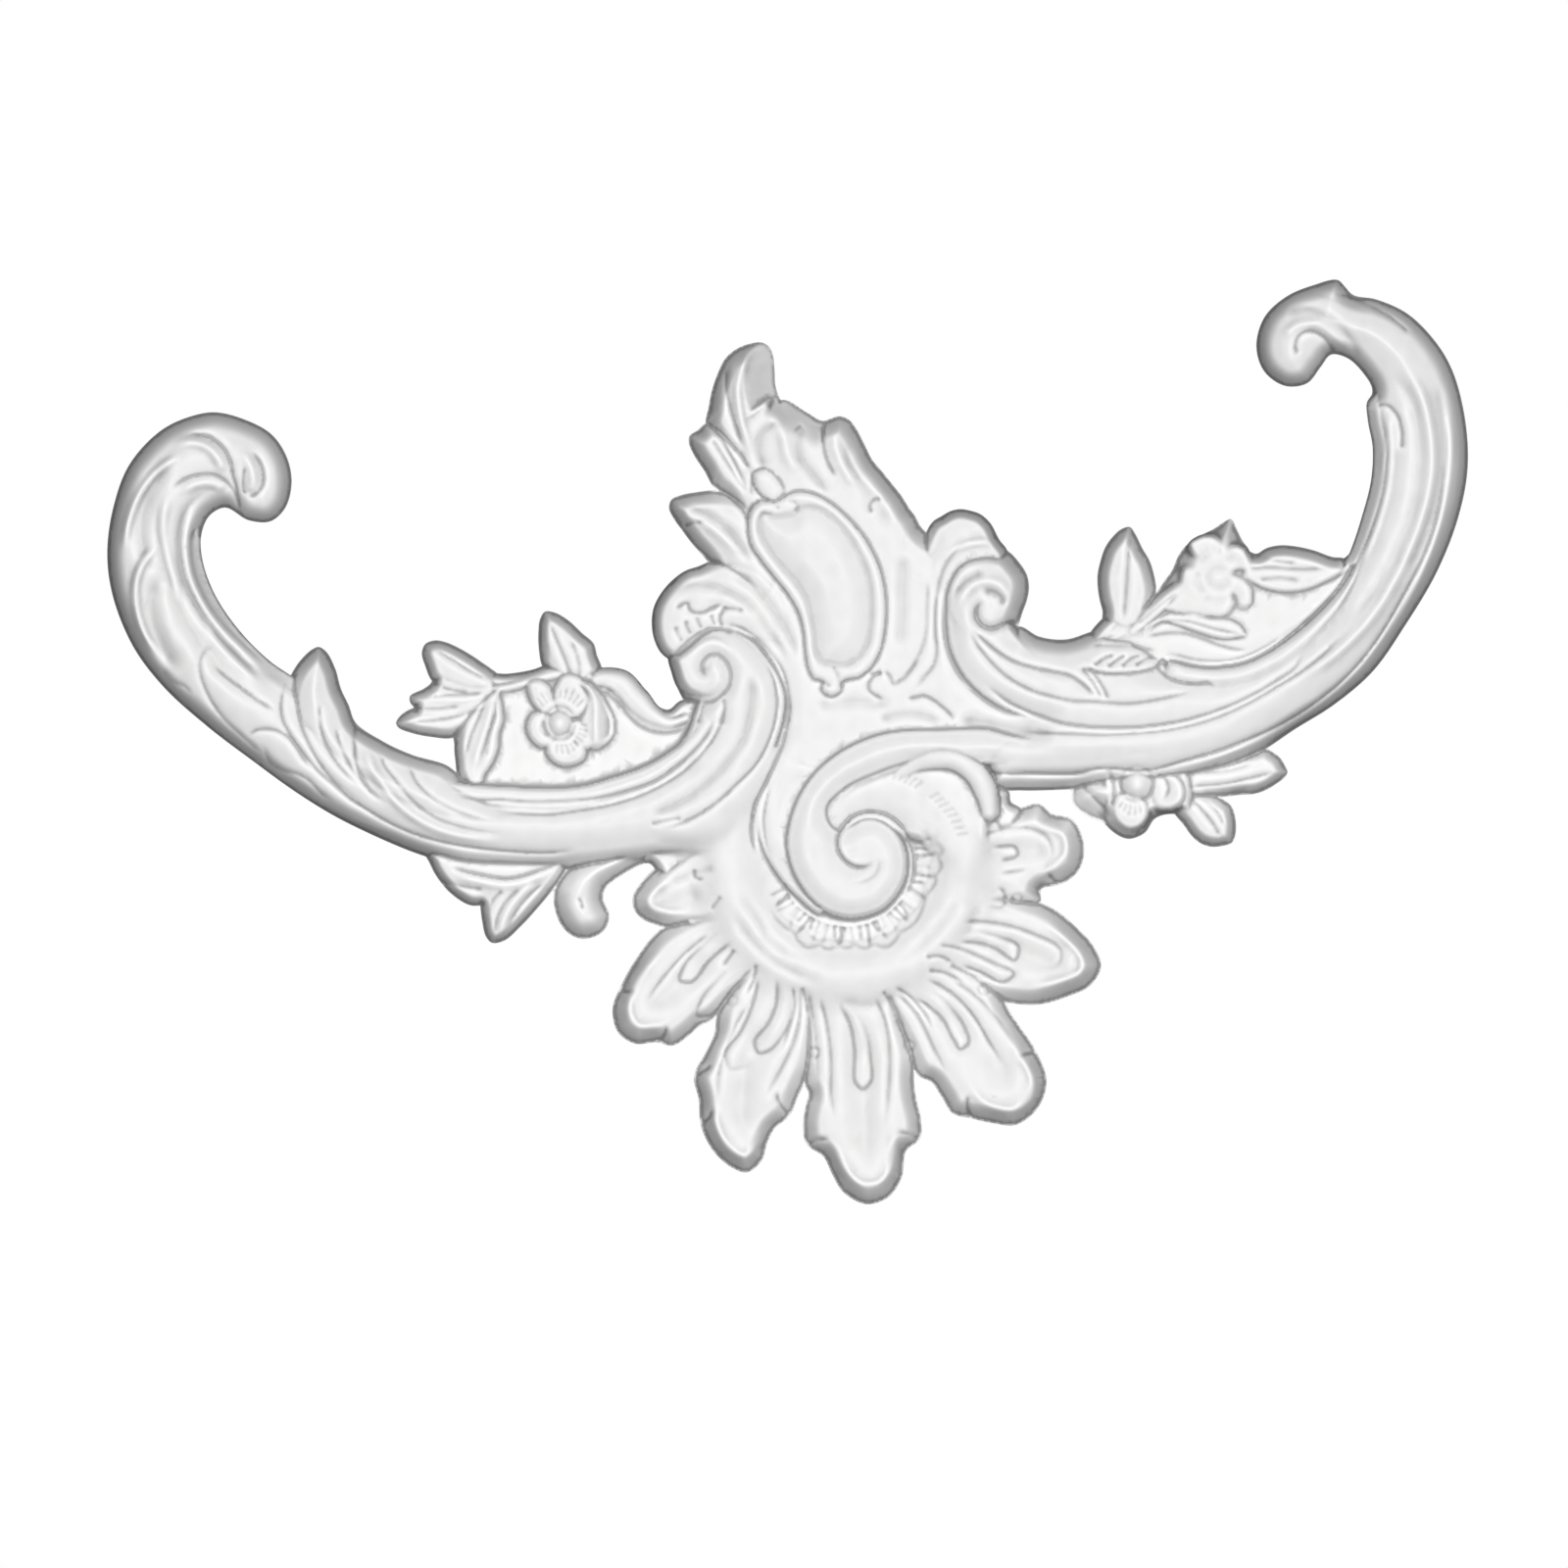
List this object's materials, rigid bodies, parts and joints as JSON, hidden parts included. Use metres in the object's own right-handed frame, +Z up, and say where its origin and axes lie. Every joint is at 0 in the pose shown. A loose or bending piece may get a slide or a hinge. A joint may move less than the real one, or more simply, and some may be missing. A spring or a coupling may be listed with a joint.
{
  "type": "rococo wall applique",
  "caption": "Carved wall applique with two swept scroll arms, a leafy crest with a cartouche, flower sprigs, a central spiral and a shell, cast in one piece with a flat back.",
  "frame": {"origin": "on the flat back, behind the middle of the piece, between the central spiral and the crest", "axes": "+Z up the wall, +X to the viewer's right along the arms, +Y into the wall; the face looks to -Y"},
  "size_m": [0.6943, 0.0352, 0.4719],
  "materials": {
    "white_primed_foam": "satin white primer on rigid cast polyurethane foam"
  },
  "bodies": {
    "root": {"rococo_applique": "white_primed_foam"}
  },
  "joints": []
}
